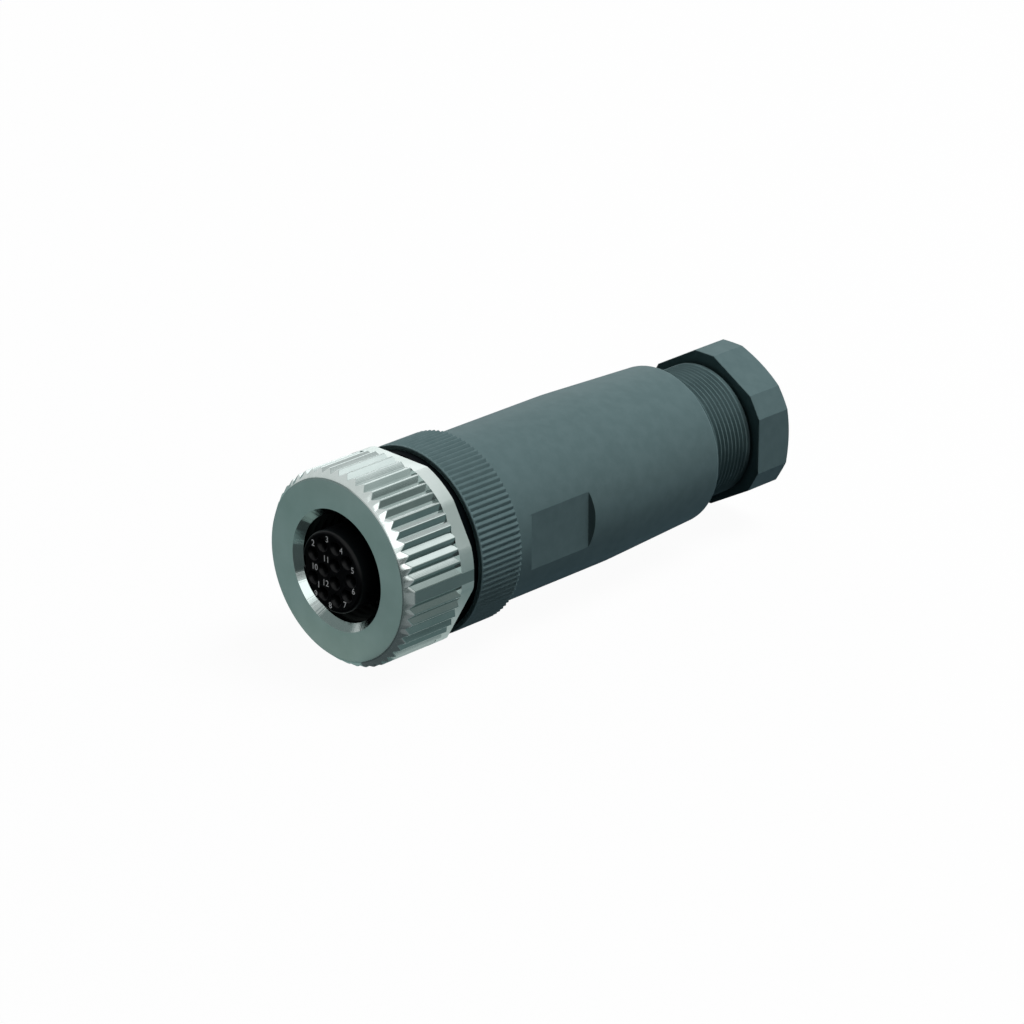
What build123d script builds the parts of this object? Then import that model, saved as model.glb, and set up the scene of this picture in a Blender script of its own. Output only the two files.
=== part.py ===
# M12 female cable connector, straight, 12 contacts, with a loose coupling nut
# and a screwed cable gland. Millimetres. The axis of the connector is the Y axis:
# the mating face looks along -Y, the cable leaves along +Y, and +Z is up.
# The origin is on the axis, level with the front face of the coupling nut.
import os
from math import cos, pi, radians, sin, sqrt, tan

from build123d import *

os.makedirs("parts", exist_ok=True)

# Running and seating clearances, all measured on the radius or along the axis
running_gap = 0.26
thread_gap = 0.05
seat_gap = 0.05
float_gap = 0.30

# Coupling nut: M12 x 1 internal thread, drawn at its minor diameter
nut_radius = 9.98
nut_length = 8.70
nut_cone_drop = 0.78
nut_cone_length = 0.92
nut_thread_radius = 5.46
nut_mouth_chamfer = 0.73
nut_relief_depth = 0.59
nut_relief_length = 1.82
nut_lip_length = 1.00
nut_groove_count = 52
nut_groove_depth = 0.39
nut_crest_width = 0.12
nut_land_drop = 0.02
nut_collar_length = 1.70
nut_wide_flat_drop = 0.69
nut_narrow_flat_drop = 0.28

# Contact insert: plug face, keyway and the twelve contact positions; it is pressed
# into the carrier, whose collar shows as the black ring behind the nut
insert_proud = 0.68
spigot_radius = 4.15
spigot_edge = 0.35
keyway_width = 1.20
keyway_depth = 0.60
seal_seat_depth = 0.30
insert_stem_step = 0.10
carrier_flange_length = 0.65
neck_step = 0.40
carrier_collar_step = 0.50
carrier_collar_length = 0.98
carrier_rear_radius = 5.80
carrier_rear_length = 4.40
outer_contact_radius = 2.80
outer_contact_pitch = 38.4
outer_contact_count = 9
inner_contact_radius = 1.08
inner_contact_count = 3

# Socket contacts
contact_radius = 0.45
contact_bore = 0.33
contact_bore_depth = 5.50
contact_recess = 0.75
contact_shoulder = 0.15
contact_shoulder_front = 8.00
contact_lead_in = 0.22
cup_radius = 0.47
cup_bore = 0.32
cup_depth = 2.60
cup_length = 4.50

# Split ring that keeps the nut on the insert
split_ring_section = 0.60
split_ring_grip = 0.85
split_ring_opening = 2.00

# Front body with its finely knurled grip ring and the thread for the housing
grip_stand = 0.80
grip_length = 5.45
grip_edge = 0.12
grip_tooth_count = 100
grip_tooth_depth = 0.22
grip_crest_width = 0.10
body_thread_radius = 7.30
body_thread_length = 7.30
body_thread_chamfer = 0.50
body_seal_section = 1.20
retainer_thickness = 1.80

# Housing sleeve
housing_wall = 0.95
housing_length = 29.60
housing_straight = 16.60
housing_end_wall = 1.35
housing_front_edge = 0.15
housing_rear_edge = 0.50
wrench_flat_depth = 0.50
wrench_flat_start = 2.55
wrench_flat_length = 7.90
housing_shoulder_radius = 4.60
housing_shoulder_length = 1.00
housing_squeeze_length = 1.50

# Cable seal, clamping cage and thrust ring
cable_seal_bore = 3.20
cable_seal_wall = 1.85
cable_seal_length = 5.40
cage_wall = 1.00
cage_length = 5.00
cage_base = 1.00
cage_slot_count = 8
cage_slot_width = 0.90
thrust_ring_length = 2.20
thrust_ring_wall = 1.70
thrust_ring_proud = 0.50

# Gland screw, drawn where the photograph shows it, ten turns short of tight
gland_thread_radius = 6.95
gland_thread_pitch = 0.54
gland_turns_left = 10
gland_thread_inside = 6.60
gland_thread_shown = 6.00
gland_neck_length = 0.40
gland_neck_drop = 0.35
gland_head_length = 4.90
gland_head_across_flats = 15.46
gland_head_across_corners_cut = 16.36
gland_head_rear_bevel = 0.55
gland_bore = 4.20
gland_mouth_flare = 1.20

# Places along the axis, each worked out from the piece in front of it
nut_lip_front = nut_length - nut_lip_length
nut_relief_front = nut_lip_front - nut_relief_length
collar_front = nut_length + float_gap
body_front = collar_front + carrier_collar_length
grip_back = body_front + grip_length
insert_back = body_front + carrier_rear_length
retainer_back = insert_back + retainer_thickness
contact_back = retainer_back + cup_length
split_ring_back = nut_lip_front - float_gap
split_ring_front = split_ring_back - split_ring_section
flange_back = split_ring_front - seat_gap
carrier_front = flange_back - carrier_flange_length
neck_front = split_ring_back + seat_gap
housing_back = grip_back + housing_length
body_seal_back = grip_back + body_seal_section + 2 * seat_gap
body_thread_back = body_seal_back + body_thread_length
shoulder_front = body_thread_back + float_gap
shoulder_back = shoulder_front + housing_shoulder_length
seal_front = shoulder_back + seat_gap
seal_back = seal_front + cable_seal_length
cage_base_front = seal_back + seat_gap
cage_back = cage_base_front + cage_base
cage_front = cage_back - cage_length
gland_bore_front = cage_back + seat_gap
gland_front = housing_back - gland_thread_inside
thrust_ring_front = gland_front - thrust_ring_proud
thrust_ring_back = thrust_ring_front + thrust_ring_length
gland_neck_front = housing_back + gland_thread_shown
gland_head_front = gland_neck_front + gland_neck_length
gland_back = gland_head_front + gland_head_length

# Radii that follow from their neighbours
carrier_flange_radius = nut_thread_radius - running_gap
neck_radius = carrier_flange_radius - neck_step
nut_lip_radius = neck_radius + running_gap / 2
nut_relief_radius = nut_thread_radius + nut_relief_depth
seal_seat_radius = spigot_radius - seal_seat_depth
insert_stem_radius = seal_seat_radius - insert_stem_step
carrier_bore = insert_stem_radius + seat_gap
split_ring_radius = nut_relief_radius - running_gap
split_ring_bore = split_ring_radius - split_ring_grip - neck_step
contact_hole = contact_radius + seat_gap
contact_shoulder_radius = contact_radius + contact_shoulder
contact_rear_hole = contact_shoulder_radius + seat_gap
cup_hole = cup_radius + seat_gap
body_bore = carrier_rear_radius + seat_gap
body_seal_seat = body_thread_radius - body_seal_section / 2 - seat_gap
housing_seal_radius = body_seal_seat + body_seal_section + 2 * seat_gap
housing_body_thread = body_thread_radius + thread_gap
housing_radius = housing_seal_radius + housing_wall
grip_radius = housing_radius + grip_stand
carrier_collar_radius = grip_radius - carrier_collar_step
cable_seal_radius = cable_seal_bore + cable_seal_wall
cage_bore = cable_seal_radius + seat_gap
cage_radius = cage_bore + cage_wall
housing_cage_bore = cage_radius + 2 * seat_gap
housing_gland_thread = gland_thread_radius + thread_gap
housing_end_radius = housing_gland_thread + housing_end_wall
thrust_ring_radius = gland_bore + thrust_ring_wall
gland_recess_radius = thrust_ring_radius + 2 * seat_gap


def across(y):
    """Plane square to the axis at the place y; extrusions from it run forwards."""
    return Plane.XZ.offset(-y)


def polar(radius, angle):
    """Point on a circle about the axis, the angle counted from +X towards +Z."""
    return radius * cos(radians(angle)), radius * sin(radians(angle))


# The outer circle leaves its wide gap at the keyway, on the -X side
half_outer = (outer_contact_count - 1) / 2
outer_angles = [outer_contact_pitch * (k - half_outer) for k in range(outer_contact_count)]
inner_angles = [60 + 360 / inner_contact_count * k for k in range(inner_contact_count)]
contact_places = [polar(outer_contact_radius, a) for a in outer_angles]
contact_places += [polar(inner_contact_radius, a) for a in inner_angles]

# Coupling nut: turned outside and inside, then grooved and flatted
nut_groove_pitch = 2 * pi * nut_radius / nut_groove_count
nut_groove_half = (nut_groove_pitch - nut_crest_width) / 2
nut_groove_step = 360 / nut_groove_count
nut_knurl_back = nut_length - nut_collar_length
nut_wall_margin = 1.0

with BuildPart() as coupling_nut:
    with BuildSketch(Plane.XY):
        with BuildLine():
            Polyline(
                (nut_thread_radius + nut_mouth_chamfer, 0),
                (nut_radius - nut_cone_drop, 0),
                (nut_radius, nut_cone_length),
                (nut_radius, nut_length),
                (nut_lip_radius, nut_length),
                (nut_lip_radius, nut_lip_front),
                (nut_relief_radius, nut_lip_front),
                (nut_relief_radius, nut_relief_front),
                (nut_thread_radius, nut_relief_front),
                (nut_thread_radius, nut_mouth_chamfer),
                close=True,
            )
        make_face()
    revolve(axis=Axis.Y)
    # Axial V grooves; one is left out at +X, where a plain land runs the whole length
    with BuildSketch(across(nut_knurl_back)):
        grooves = [nut_groove_step * k for k in range(1, nut_groove_count)]
        with Locations(*[Location((0, 0), a) for a in grooves]):
            Polygon(
                (nut_radius - nut_groove_depth, 0),
                (nut_radius + nut_groove_depth, 2 * nut_groove_half),
                (nut_radius + nut_groove_depth, -2 * nut_groove_half),
                align=None,
            )
    extrude(amount=nut_knurl_back, mode=Mode.SUBTRACT)
    # Rear collar: three wide flats and three narrow ones between them
    with BuildSketch(across(nut_length)):
        with PolarLocations(nut_radius - nut_wide_flat_drop, 3, 90):
            Rectangle(nut_wall_margin, nut_radius, align=(Align.MIN, Align.CENTER))
        with PolarLocations(nut_radius - nut_narrow_flat_drop, 3, 30):
            Rectangle(nut_wall_margin, nut_radius, align=(Align.MIN, Align.CENTER))
    extrude(amount=nut_collar_length, mode=Mode.SUBTRACT)
    # The land is a very shallow flat
    with BuildSketch(across(nut_length)):
        with Locations((nut_radius - nut_land_drop, 0)):
            Rectangle(nut_wall_margin, nut_groove_pitch, align=(Align.MIN, Align.CENTER))
    extrude(amount=nut_length, mode=Mode.SUBTRACT)
coupling_nut.part.label = "coupling_nut"
export_step(coupling_nut.part, "parts/coupling_nut.step")

# Split ring in the groove of the insert, in front of the lip of the nut
with BuildPart() as nut_split_ring:
    with BuildSketch(across(split_ring_back)):
        Circle(split_ring_radius)
        Circle(split_ring_bore, mode=Mode.SUBTRACT)
        with Locations((0, -split_ring_radius)):
            Rectangle(split_ring_opening, split_ring_radius, mode=Mode.SUBTRACT)
    extrude(amount=split_ring_section)
nut_split_ring.part.label = "nut_split_ring"
export_step(nut_split_ring.part, "parts/nut_split_ring.step")

# Face seal: an O-ring round the root of the spigot, against the flange
face_seal_section = (carrier_flange_radius - seal_seat_radius - 2 * seat_gap) / 2
face_seal_circle = seal_seat_radius + seat_gap + face_seal_section
face_seal_place = carrier_front - seat_gap - face_seal_section
seal_seat_front = face_seal_place - face_seal_section - seat_gap

with BuildPart() as face_seal:
    with BuildSketch(Plane.XY):
        with Locations((face_seal_circle, face_seal_place)):
            Circle(face_seal_section)
    revolve(axis=Axis.Y)
face_seal.part.label = "face_seal"
export_step(face_seal.part, "parts/face_seal.step")

# Contact insert: spigot, seal seat and a stem that goes through the carrier
with BuildPart() as contact_insert:
    with BuildSketch(Plane.XY):
        with BuildLine():
            Line((0, -insert_proud), (spigot_radius - spigot_edge, -insert_proud))
            RadiusArc(
                (spigot_radius - spigot_edge, -insert_proud),
                (spigot_radius, spigot_edge - insert_proud),
                -spigot_edge,
            )
            Polyline(
                (spigot_radius, spigot_edge - insert_proud),
                (spigot_radius, seal_seat_front),
                (seal_seat_radius, seal_seat_front),
                (seal_seat_radius, carrier_front),
                (insert_stem_radius, carrier_front),
                (insert_stem_radius, insert_back),
                (0, insert_back),
                (0, -insert_proud),
            )
        make_face()
    revolve(axis=Axis.Y)
    # Keyway at -X, from the face to the seal
    with BuildSketch(across(seal_seat_front)):
        with Locations((-spigot_radius + keyway_depth, 0)):
            Rectangle(2 * keyway_depth, keyway_width, align=(Align.MAX, Align.CENTER))
    extrude(amount=seal_seat_front + insert_proud, mode=Mode.SUBTRACT)
    # Contact cavities: a front bore and a wider rear bore that meet at the shoulder
    with BuildSketch(across(contact_shoulder_front)):
        with Locations(*contact_places):
            Circle(contact_hole)
    extrude(amount=contact_shoulder_front + insert_proud, mode=Mode.SUBTRACT)
    with BuildSketch(across(insert_back)):
        with Locations(*contact_places):
            Circle(contact_rear_hole)
    extrude(amount=insert_back - contact_shoulder_front, mode=Mode.SUBTRACT)
    mouths = contact_insert.edges().filter_by(GeomType.CIRCLE).group_by(Axis.Y)[0]
    chamfer(mouths.filter_by(lambda edge: edge.radius < 2 * contact_hole), contact_lead_in)
contact_insert.part.label = "contact_insert"
export_step(contact_insert.part, "parts/contact_insert.step")

# Insert carrier: flange, groove of the split ring, neck of the nut, collar and rear plug
split_groove_radius = split_ring_bore - seat_gap

with BuildPart() as insert_carrier:
    with BuildSketch(Plane.XY):
        with BuildLine():
            Polyline(
                (carrier_bore, carrier_front),
                (carrier_flange_radius, carrier_front),
                (carrier_flange_radius, flange_back),
                (split_groove_radius, flange_back),
                (split_groove_radius, neck_front),
                (neck_radius, neck_front),
                (neck_radius, collar_front),
                (carrier_collar_radius, collar_front),
                (carrier_collar_radius, body_front),
                (carrier_rear_radius, body_front),
                (carrier_rear_radius, insert_back),
                (carrier_bore, insert_back),
                close=True,
            )
        make_face()
    revolve(axis=Axis.Y)
insert_carrier.part.label = "insert_carrier"
export_step(insert_carrier.part, "parts/insert_carrier.step")

# Retainer: a plain disc behind the insert that holds the contact shoulders
with BuildPart() as contact_retainer:
    with BuildSketch(across(retainer_back)):
        Circle(carrier_rear_radius)
        with Locations(*contact_places):
            Circle(cup_hole, mode=Mode.SUBTRACT)
    extrude(amount=retainer_thickness)
contact_retainer.part.label = "contact_retainer"
export_step(contact_retainer.part, "parts/contact_retainer.step")

# Contacts: the outer circle counts from the keyway over the top, then the inner three
numbered_angles = outer_angles[::-1]
numbered_places = [polar(outer_contact_radius, numbered_angles[-1])]
numbered_places += [polar(outer_contact_radius, a) for a in numbered_angles[:-1]]
numbered_places += [polar(inner_contact_radius, a) for a in (180, 60, 300)]
cup_front = insert_back - seat_gap

for number, (x, z) in enumerate(numbered_places, start=1):
    with BuildPart() as socket_contact:
        with BuildSketch(Plane.XY.move(Location((x, 0, z)))):
            with BuildLine():
                Polyline(
                    (contact_bore, contact_recess),
                    (contact_radius, contact_recess),
                    (contact_radius, contact_shoulder_front),
                    (contact_shoulder_radius, contact_shoulder_front),
                    (contact_shoulder_radius, cup_front),
                    (cup_radius, cup_front),
                    (cup_radius, contact_back),
                    (cup_bore, contact_back),
                    (cup_bore, contact_back - cup_depth),
                    (0, contact_back - cup_depth),
                    (0, contact_recess + contact_bore_depth),
                    (contact_bore, contact_recess + contact_bore_depth),
                    close=True,
                )
            make_face()
        revolve(axis=Axis((x, 0, z), (0, 1, 0)))
        # The solder cup is cut open to half its width, towards +Z
        with Locations((x, contact_back, z)):
            Box(2 * cup_radius, 2 * (cup_depth - cup_bore), 2 * cup_radius,
                align=(Align.CENTER, Align.CENTER, Align.MIN), mode=Mode.SUBTRACT)
    socket_contact.part.label = f"socket_contact_{number:02d}"
    export_step(socket_contact.part, f"parts/socket_contact_{number:02d}.step")

# Front body: knurled grip ring, seal seat and the thread that takes the housing
grip_tooth_pitch = 2 * pi * grip_radius / grip_tooth_count
grip_groove_half = (grip_tooth_pitch - grip_crest_width) / 2

with BuildPart() as front_body:
    with BuildSketch(Plane.XY):
        with BuildLine():
            Polyline(
                (body_bore, body_front),
                (grip_radius - grip_edge, body_front),
                (grip_radius, body_front + grip_edge),
                (grip_radius, grip_back),
                (body_seal_seat, grip_back),
                (body_seal_seat, body_seal_back),
                (body_thread_radius, body_seal_back),
                (body_thread_radius, body_thread_back - body_thread_chamfer),
                (body_thread_radius - body_thread_chamfer, body_thread_back),
                (body_bore, body_thread_back),
                close=True,
            )
        make_face()
    revolve(axis=Axis.Y)
    with BuildSketch(across(grip_back)):
        with PolarLocations(0, grip_tooth_count):
            Polygon(
                (grip_radius - grip_tooth_depth, 0),
                (grip_radius + grip_tooth_depth, 2 * grip_groove_half),
                (grip_radius + grip_tooth_depth, -2 * grip_groove_half),
                align=None,
            )
    extrude(amount=grip_length, mode=Mode.SUBTRACT)
front_body.part.label = "front_body"
export_step(front_body.part, "parts/front_body.step")

# Body seal: an O-ring between the front body and the housing
with BuildPart() as body_seal:
    with BuildSketch(Plane.XY):
        with Locations((body_seal_seat + seat_gap + body_seal_section / 2,
                        grip_back + seat_gap + body_seal_section / 2)):
            Circle(body_seal_section / 2)
    revolve(axis=Axis.Y)
body_seal.part.label = "body_seal"
export_step(body_seal.part, "parts/body_seal.step")

# Housing sleeve: straight, then tapered to the gland end, with two wrench flats
flat_front = grip_back + wrench_flat_start
flat_back = flat_front + wrench_flat_length
wrench_flat_distance = housing_radius - wrench_flat_depth

with BuildPart() as housing_sleeve:
    with BuildSketch(Plane.XY):
        with BuildLine():
            Polyline(
                (housing_seal_radius, grip_back),
                (housing_radius - housing_front_edge, grip_back),
                (housing_radius, grip_back + housing_front_edge),
                (housing_radius, grip_back + housing_straight),
                (housing_end_radius, housing_back),
                (housing_gland_thread, housing_back),
                (housing_gland_thread, gland_bore_front),
                (housing_cage_bore, gland_bore_front),
                (housing_cage_bore, shoulder_back + housing_squeeze_length),
                (cage_bore, shoulder_back),
                (housing_shoulder_radius, shoulder_back),
                (housing_shoulder_radius, shoulder_front),
                (housing_body_thread, shoulder_front),
                (housing_body_thread, body_seal_back),
                (housing_seal_radius, body_seal_back),
                close=True,
            )
        make_face()
    revolve(axis=Axis.Y)
    rear_edges = housing_sleeve.edges().filter_by(GeomType.CIRCLE).group_by(Axis.Y)[-1]
    fillet(rear_edges.sort_by(SortBy.RADIUS)[-1], housing_rear_edge)
    # Each wrench flat is milled with a ramp of 45 degrees at both ends
    with BuildSketch(Plane.XY):
        for side in (1, -1):
            with BuildLine():
                Polyline(
                    (side * wrench_flat_distance, flat_front),
                    (side * (housing_radius + wrench_flat_depth), flat_front - 2 * wrench_flat_depth),
                    (side * (housing_radius + wrench_flat_depth), flat_back + 2 * wrench_flat_depth),
                    (side * wrench_flat_distance, flat_back),
                    close=True,
                )
            make_face()
    extrude(amount=housing_radius, both=True, mode=Mode.SUBTRACT)
housing_sleeve.part.label = "housing_sleeve"
export_step(housing_sleeve.part, "parts/housing_sleeve.step")

# Cable seal: a rubber bush with a bevelled front end
with BuildPart() as cable_seal:
    with BuildSketch(Plane.XY):
        with BuildLine():
            Polyline(
                (cable_seal_bore, seal_front),
                (cable_seal_radius - cable_seal_wall / 2, seal_front),
                (cable_seal_radius, seal_front + cable_seal_wall / 2),
                (cable_seal_radius, seal_back),
                (cable_seal_bore, seal_back),
                close=True,
            )
        make_face()
    revolve(axis=Axis.Y)
cable_seal.part.label = "cable_seal"
export_step(cable_seal.part, "parts/cable_seal.step")

# Clamping cage: a slotted collet round the seal, joined by a base ring
cage_slot_length = cage_base_front - cage_front

with BuildPart() as clamp_cage:
    with BuildSketch(Plane.XY):
        with BuildLine():
            Polyline(
                (cage_bore, cage_front),
                (cage_radius - cage_wall / 2, cage_front),
                (cage_radius, cage_front + cage_wall / 2),
                (cage_radius, cage_back),
                (cable_seal_bore + seat_gap, cage_back),
                (cable_seal_bore + seat_gap, cage_base_front),
                (cage_bore, cage_base_front),
                close=True,
            )
        make_face()
    revolve(axis=Axis.Y)
    with BuildSketch(across(cage_base_front)):
        with PolarLocations((cage_bore + cage_radius) / 2, cage_slot_count):
            Rectangle(2 * cage_wall, cage_slot_width)
    extrude(amount=cage_slot_length, mode=Mode.SUBTRACT)
clamp_cage.part.label = "clamp_cage"
export_step(clamp_cage.part, "parts/clamp_cage.step")

# Thrust ring: sits in the front recess of the gland screw and presses the cage
with BuildPart() as thrust_ring:
    with BuildSketch(across(thrust_ring_back)):
        Circle(thrust_ring_radius)
        Circle(gland_bore, mode=Mode.SUBTRACT)
    extrude(amount=thrust_ring_length)
thrust_ring.part.label = "thrust_ring"
export_step(thrust_ring.part, "parts/thrust_ring.step")

# Gland screw: external thread drawn as its outer cylinder, a neck, and a hexagon
# head whose six corners are cut back by narrow flats
head_corner = gland_head_across_corners_cut - sqrt(3) / 2 * gland_head_across_flats
head_bevel_rise = gland_head_rear_bevel / tan(radians(30))
gland_recess_back = thrust_ring_back + 2 * seat_gap
gland_cut_radius = sqrt((gland_head_across_flats / 2) ** 2 + head_corner ** 2)

with BuildPart() as gland_screw:
    with BuildSketch(across(gland_back)):
        RegularPolygon(gland_head_across_flats / 2, 6, major_radius=False, rotation=30)
        RegularPolygon(gland_head_across_corners_cut / 2, 6, major_radius=False, mode=Mode.INTERSECT)
    extrude(amount=gland_head_length)
    with BuildSketch(Plane.XY):
        with BuildLine():
            Polyline(
                (0, gland_front),
                (gland_thread_radius, gland_front),
                (gland_thread_radius, gland_neck_front),
                (gland_thread_radius - gland_neck_drop, gland_neck_front),
                (gland_thread_radius - gland_neck_drop, gland_head_front),
                (0, gland_head_front),
                close=True,
            )
        make_face()
    revolve(axis=Axis.Y)
    # Bore with a flared mouth, and the recess of the thrust ring
    with BuildSketch(Plane.XY):
        with BuildLine():
            Polyline((0, gland_front), (gland_recess_radius, gland_front))
            Polyline(
                (gland_recess_radius, gland_front),
                (gland_recess_radius, gland_recess_back),
                (gland_bore, gland_recess_back),
                (gland_bore, gland_back - gland_mouth_flare),
            )
            RadiusArc(
                (gland_bore, gland_back - gland_mouth_flare),
                (gland_bore + gland_mouth_flare, gland_back),
                gland_mouth_flare,
            )
            Polyline((gland_bore + gland_mouth_flare, gland_back), (0, gland_back), (0, gland_front))
        make_face()
    revolve(axis=Axis.Y, mode=Mode.SUBTRACT)
    # Turned bevel of 30 degrees round the rear of the head
    with BuildSketch(Plane.XY):
        with BuildLine():
            Polyline(
                (gland_cut_radius, gland_back - gland_head_rear_bevel),
                (gland_cut_radius + head_bevel_rise, gland_back - gland_head_rear_bevel),
                (gland_cut_radius + head_bevel_rise, gland_back),
                (gland_cut_radius - head_bevel_rise, gland_back),
                close=True,
            )
        make_face()
    revolve(axis=Axis.Y, mode=Mode.SUBTRACT)
gland_screw.part.label = "gland_screw"
export_step(gland_screw.part, "parts/gland_screw.step")
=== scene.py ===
"""M12 socket connector: finishes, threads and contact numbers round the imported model.

Sizes are in millimetres and become metres where a mesh is made. The connector's axis is Y, its
mating face looks along -Y, Z is up, and angles are counted from +X towards +Z.
"""

import bpy
import numpy as np
from mathutils import Matrix, Vector


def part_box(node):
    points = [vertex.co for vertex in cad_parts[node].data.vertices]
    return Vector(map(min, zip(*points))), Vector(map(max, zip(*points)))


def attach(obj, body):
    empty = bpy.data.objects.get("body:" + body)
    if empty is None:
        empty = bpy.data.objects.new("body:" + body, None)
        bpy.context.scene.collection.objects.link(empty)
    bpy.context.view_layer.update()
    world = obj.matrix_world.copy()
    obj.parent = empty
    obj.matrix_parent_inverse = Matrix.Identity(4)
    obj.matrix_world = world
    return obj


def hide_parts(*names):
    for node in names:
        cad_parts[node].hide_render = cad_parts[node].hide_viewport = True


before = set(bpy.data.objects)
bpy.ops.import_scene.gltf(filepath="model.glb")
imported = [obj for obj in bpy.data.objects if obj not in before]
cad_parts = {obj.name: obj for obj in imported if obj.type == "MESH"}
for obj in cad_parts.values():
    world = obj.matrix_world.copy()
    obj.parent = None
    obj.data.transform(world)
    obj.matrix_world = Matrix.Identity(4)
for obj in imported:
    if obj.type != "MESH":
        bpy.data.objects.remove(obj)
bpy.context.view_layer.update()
MM = 0.001
TURN = 2 * np.pi


def span(node):
    """Front and back of a CAD node along the axis, in millimetres."""
    low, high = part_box(node)
    return low.y / MM, high.y / MM


# Places along the axis, from the frame
nut_front, nut_back = span("coupling_nut")
insert_front, insert_back = span("contact_insert")
carrier_front, carrier_back = span("insert_carrier")
body_front, body_back = span("front_body")
housing_front, housing_back = span("housing_sleeve")
gland_front, gland_back = span("gland_screw")

# Coupling nut
nut_radius = 9.98
nut_face_radius = 9.20
nut_cone_length = 0.92
nut_thread_crest = 5.46
nut_thread_depth = 0.54
nut_thread_pitch = 1.00
nut_mouth_chamfer = 0.73
nut_thread_length = 5.15
nut_relief_radius = 6.05
nut_lip_radius = 4.93
nut_lip_length = 1.00
nut_collar_length = 1.70
nut_grooves = 52
nut_groove_depth = 0.39
nut_crest_width = 0.12
nut_crest_round = 0.055
nut_edge = 0.05
nut_wide_flat = 9.29
nut_narrow_flat = 9.70
nut_land_flat = 9.96
# Half the land, in grooves, and half of the milled band on it, in degrees
nut_land_half = 0.9
nut_milled_half = 3.2
# Width of a streak of tool chatter at the middle of the mouth's chamfer
nut_chatter_width = 0.647

# Contact insert
spigot_radius = 4.15
spigot_edge = 0.35
keyway_width = 1.20
keyway_depth = 0.60
seal_seat_front = 4.75
seal_seat_radius = 3.85
insert_stem_radius = 3.75
contact_hole = 0.50
contact_lead_in = 0.22
contact_mouth_hole = 0.44
contact_funnel_length = 0.60
contact_mouth_length = 1.30
contact_shoulder = 8.00
contact_rear_hole = 0.65
outer_circle = 2.80
outer_pitch = 38.4
inner_circle = 1.08

# Insert carrier
carrier_bore = 3.80
carrier_flange_radius = 5.20
flange_back = 6.75
split_groove_radius = 4.49
neck_front = 7.45
neck_radius = 4.80
collar_radius = 9.20
collar_front = 9.00
carrier_rear_radius = 5.80

# Front body
grip_radius = 9.70
grip_length = 5.45
grip_edge = 0.12
grip_band = 0.20
grip_band_drop = 0.04
grip_band_edge = 0.06
grip_rear_edge = 0.04
grip_teeth = 100
grip_tooth_depth = 0.22
grip_crest_width = 0.10
body_bore = 5.85
body_seal_seat = 6.65
body_seal_length = 1.30
body_thread = 7.30
body_thread_chamfer = 0.50

# Housing sleeve
housing_radius = 8.90
housing_end_radius = 8.35
housing_straight = 16.60
housing_front_edge = 0.15
housing_rear_edge = 0.50
housing_taper_blend = 1.00
seal_bore = 7.95
seal_bore_length = 1.30
thread_bore = 7.35
thread_bore_back = 24.33
shoulder_bore = 4.60
shoulder_back = 25.33
cage_bore = 5.10
cage_cone = 6.20
cage_cone_length = 1.50
cage_bore_back = 31.88
gland_hole = 7.00
gland_hole_edge = 0.25
wrench_flat = 8.40
wrench_flat_start = 2.55
wrench_flat_length = 7.90

# Gland screw
gland_thread_crest = 6.95
gland_thread_depth = 0.24
gland_thread_pitch = 0.54
gland_thread_lead = 0.30
gland_neck_length = 0.40
gland_neck_radius = 6.60
gland_head_length = 4.90
gland_edge = 0.05
gland_flat = 7.73
gland_corner_flat = 8.18
gland_bevel = 0.55
gland_bevel_angle = 30
gland_bore = 4.20
gland_flare = 1.20
gland_recess = 6.00
gland_recess_depth = 1.80


def linear(hex_colour):
    """An sRGB hex colour as linear red, green, blue and 1."""
    rgb = np.array([int(hex_colour[i:i + 2], 16) for i in (1, 3, 5)]) / 255
    low, high = rgb / 12.92, ((rgb + 0.055) / 1.055) ** 2.4
    return (*np.where(rgb <= 0.04045, low, high).tolist(), 1.0)


def node(tree, kind, settings=None, values=(), **links):
    """Adds one node: settings go to its properties or to inputs by name, values to its first inputs
    in their order, each a number or a socket to link, and links to its inputs by name."""
    made = tree.nodes.new(kind)
    for name, value in (settings or {}).items():
        if name in made.inputs:
            made.inputs[name].default_value = value
        else:
            setattr(made, name, value)
    for place, value in zip(made.inputs, values):
        if isinstance(value, bpy.types.NodeSocket):
            tree.links.new(value, place)
        else:
            place.default_value = value
    for name, socket in links.items():
        tree.links.new(socket, made.inputs[name.replace("_", " ")])
    return made


def new_material(name):
    """An empty material with its output and one Principled shader, and its Object coordinates."""
    material = bpy.data.materials.new(name)
    material.use_nodes = True
    tree = material.node_tree
    tree.nodes.clear()
    shader = node(tree, "ShaderNodeBsdfPrincipled")
    output = node(tree, "ShaderNodeOutputMaterial")
    tree.links.new(shader.outputs["BSDF"], output.inputs["Surface"])
    place = node(tree, "ShaderNodeTexCoord").outputs["Object"]
    return material, tree, shader, place


def mottled(tree, place, grain_mm, dark, light, contrast=(0.35, 0.65)):
    """A noise of one grain size that runs between two hex colours."""
    noise = node(tree, "ShaderNodeTexNoise", {"Scale": 1 / (grain_mm * MM), "Detail": 3.0},
                 Vector=place)
    ramp = node(tree, "ShaderNodeValToRGB", Fac=noise.outputs["Fac"])
    for stop, where, colour in zip(ramp.color_ramp.elements, contrast, (dark, light)):
        stop.position = where
        stop.color = linear(colour)
    return ramp.outputs["Color"]


def grain_bump(tree, place, grain_mm, height_mm, strength, **under):
    """A bump from noise of one grain size and height, over another bump if one is given."""
    noise = node(tree, "ShaderNodeTexNoise", {"Scale": 1 / (grain_mm * MM), "Detail": 2.0},
                 Vector=place)
    bump = node(tree, "ShaderNodeBump", {"Strength": strength, "Distance": height_mm * MM},
                Height=noise.outputs["Fac"], **under)
    return bump.outputs["Normal"]


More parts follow.
